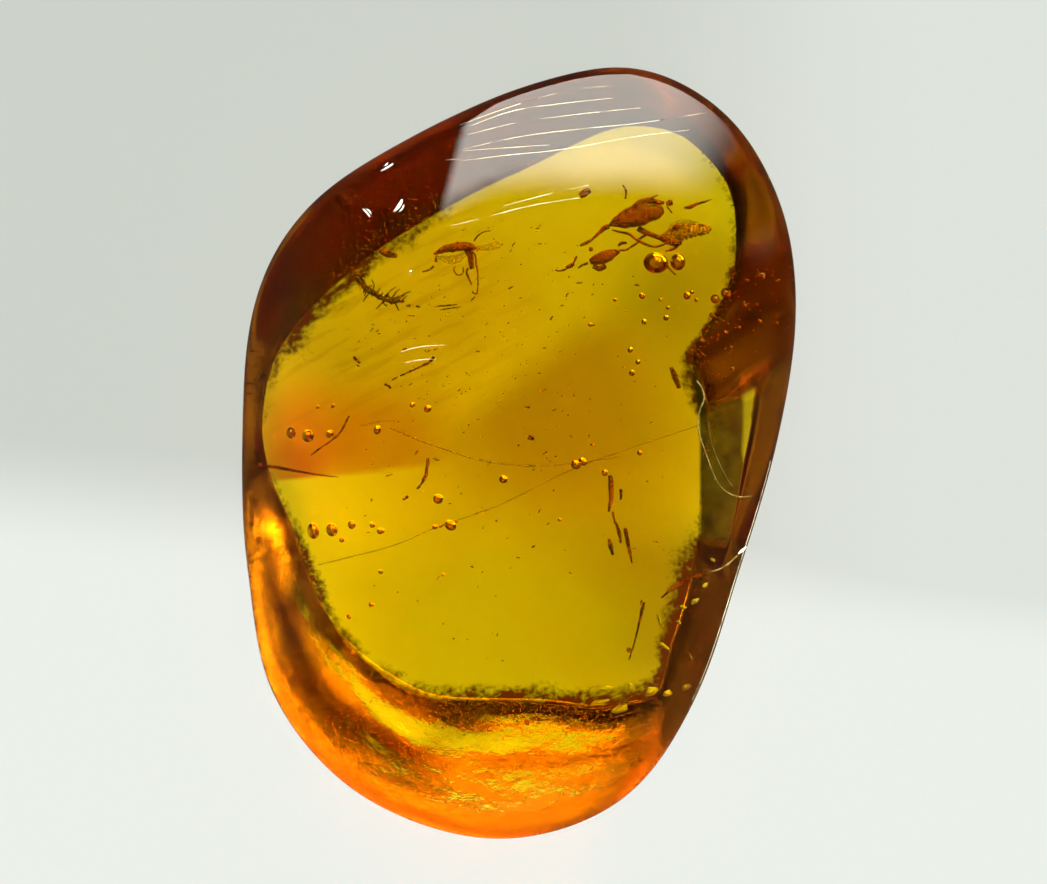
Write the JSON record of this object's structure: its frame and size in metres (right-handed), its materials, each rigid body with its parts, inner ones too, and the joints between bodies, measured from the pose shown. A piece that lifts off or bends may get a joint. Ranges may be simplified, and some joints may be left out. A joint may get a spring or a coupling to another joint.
{
  "type": "insect in amber",
  "caption": "Polished egg-shaped piece of honey-coloured amber with insects sealed in it, domed in front, with a flat back ringed by a bevel.",
  "frame": {"origin": "on the flat back that the stone rests on, under the middle of the outline's box", "axes": "+X to the right and +Y towards the broad upper end as the front is seen, +Z out of the front of the dome"},
  "size_m": [0.0232, 0.032, 0.009],
  "materials": {
    "amber": "polished",
    "insect": "dry",
    "bubble": "clear",
    "debris": "dull"
  },
  "bodies": {
    "root": {"amber": "amber"}
  },
  "joints": []
}
